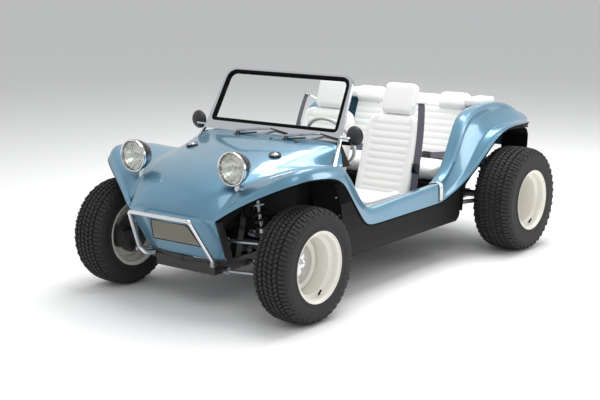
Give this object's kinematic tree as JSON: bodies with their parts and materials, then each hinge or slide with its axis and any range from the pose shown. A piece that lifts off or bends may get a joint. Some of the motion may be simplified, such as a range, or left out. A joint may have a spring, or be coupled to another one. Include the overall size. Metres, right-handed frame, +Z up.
{
  "type": "dune buggy",
  "caption": "Open dune buggy: moulded body with raked windscreen, round lamps and a bumper hoop, padded seats, freely turning road wheels and rack steering of the front wheels.",
  "frame": {"origin": "on the ground under the middle of the car", "axes": "+X to the car's left, -Y forwards, +Z up"},
  "size_m": [1.9434, 3.2054, 1.3147],
  "materials": {
    "body_paint": "metallic light blue paint under clear lacquer",
    "black_trim": "matte black moulding",
    "tyre_rubber": "black road tyre rubber",
    "wheel_enamel": "ivory enamel on pressed steel",
    "chrome": "bright chrome plate",
    "cast_iron": "machined and as-cast iron",
    "bare_steel": "zinc-plated steel",
    "frame_paint": "satin black paint on steel",
    "cast_alloy": "cast aluminium",
    "polished_alloy": "polished aluminium extrusion",
    "seal_rubber": "black rubber section",
    "clear_glass": "clear glass",
    "grille_mesh": "woven steel mesh",
    "seat_vinyl": "white grained vinyl with welded ribs",
    "belt_webbing": "dark grey webbing",
    "white_plastic": "white moulded rim",
    "black_gloss": "gloss black shell",
    "red_lens": "red moulded lens"
  },
  "bodies": {
    "body": {"hood": "body_paint", "front_fenders": "body_paint", "rear_quarters": "body_paint", "tail_panel": "body_paint", "floor_tray": "black_trim", "dashboard": "black_trim", "sill_covers": "black_trim", "arch_liners": "black_trim", "nose_trim": "black_trim", "headlamp_rims": "chrome", "front_bumper": "chrome", "mirror_arms": "chrome", "front_suspension_arms": "bare_steel", "front_coilovers": "bare_steel", "rear_suspension_arms": "bare_steel", "rear_coilovers": "bare_steel", "wipers": "bare_steel", "front_frame": "frame_paint", "floor_rails": "frame_paint", "rear_frame": "frame_paint", "steering_column": "frame_paint", "headlamp_shells": "frame_paint", "drive_unit": "cast_alloy", "windscreen_frame": "polished_alloy", "windscreen_seal": "seal_rubber", "windscreen_glass": "clear_glass", "headlamp_lenses": "clear_glass", "grille": "grille_mesh", "front_seat_cushions": "seat_vinyl", "front_seat_backs": "seat_vinyl", "front_headrests": "seat_vinyl", "rear_seat_cushion": "seat_vinyl", "rear_seat_back": "seat_vinyl", "rear_headrests": "seat_vinyl", "seat_belts": "belt_webbing", "mirror_heads": "black_gloss", "tail_lamps": "red_lens"},
    "knuckle_left": {"front_left_knuckle": "cast_iron"},
    "knuckle_right": {"front_right_knuckle": "cast_iron"},
    "steering_rack": {"steering_rack": "bare_steel"},
    "steering_wheel": {"steering_wheel": "white_plastic"},
    "wheel_front_left": {"front_left_tyre": "tyre_rubber", "front_left_rim": "wheel_enamel", "front_left_hubcap": "chrome", "front_left_hub": "cast_iron"},
    "wheel_front_right": {"front_right_tyre": "tyre_rubber", "front_right_rim": "wheel_enamel", "front_right_hubcap": "chrome", "front_right_hub": "cast_iron"},
    "wheel_rear_left": {"rear_left_tyre": "tyre_rubber", "rear_left_rim": "wheel_enamel", "rear_left_hubcap": "chrome", "rear_left_axle": "cast_iron"},
    "wheel_rear_right": {"rear_right_tyre": "tyre_rubber", "rear_right_rim": "wheel_enamel", "rear_right_hubcap": "chrome", "rear_right_axle": "cast_iron"}
  },
  "joints": [
    {"name": "steer_left", "type": "hinge", "parent": "body", "child": "knuckle_left", "pos_m": [0.596, -1.175, 0.333], "axis": [0, 0, 1], "range_deg": [-30, 30]},
    {"name": "roll_front_left", "type": "hinge", "parent": "knuckle_left", "child": "wheel_front_left", "pos_m": [0.72, -1.175, 0.333], "axis": [1, 0, 0], "continuous": true},
    {"name": "roll_rear_left", "type": "hinge", "parent": "body", "child": "wheel_rear_left", "pos_m": [0.829, 1.095, 0.359], "axis": [1, 0, 0], "continuous": true},
    {"name": "steer_right", "type": "hinge", "parent": "body", "child": "knuckle_right", "pos_m": [-0.596, -1.175, 0.333], "axis": [0, 0, 1], "range_deg": [-30, 30]},
    {"name": "roll_front_right", "type": "hinge", "parent": "knuckle_right", "child": "wheel_front_right", "pos_m": [-0.72, -1.175, 0.333], "axis": [1, 0, 0], "continuous": true},
    {"name": "roll_rear_right", "type": "hinge", "parent": "body", "child": "wheel_rear_right", "pos_m": [-0.829, 1.095, 0.359], "axis": [1, 0, 0], "continuous": true},
    {"name": "rack_slide", "type": "slide", "parent": "body", "child": "steering_rack", "axis": [1, 0, 0], "range_m": [-0.064, 0.064]},
    {"name": "steering_turn", "type": "hinge", "parent": "body", "child": "steering_wheel", "pos_m": [0.28, -0.32, 0.884], "axis": [0, 0.8949, 0.4462], "range_deg": [-391, 391]}
  ],
  "couplings": [
    {"joint": "steer_right", "follows": "steer_left", "ratio": 1},
    {"joint": "rack_slide", "follows": "steer_left", "m_per_rad": -0.12},
    {"joint": "steering_turn", "follows": "steer_left", "ratio": 13}
  ]
}
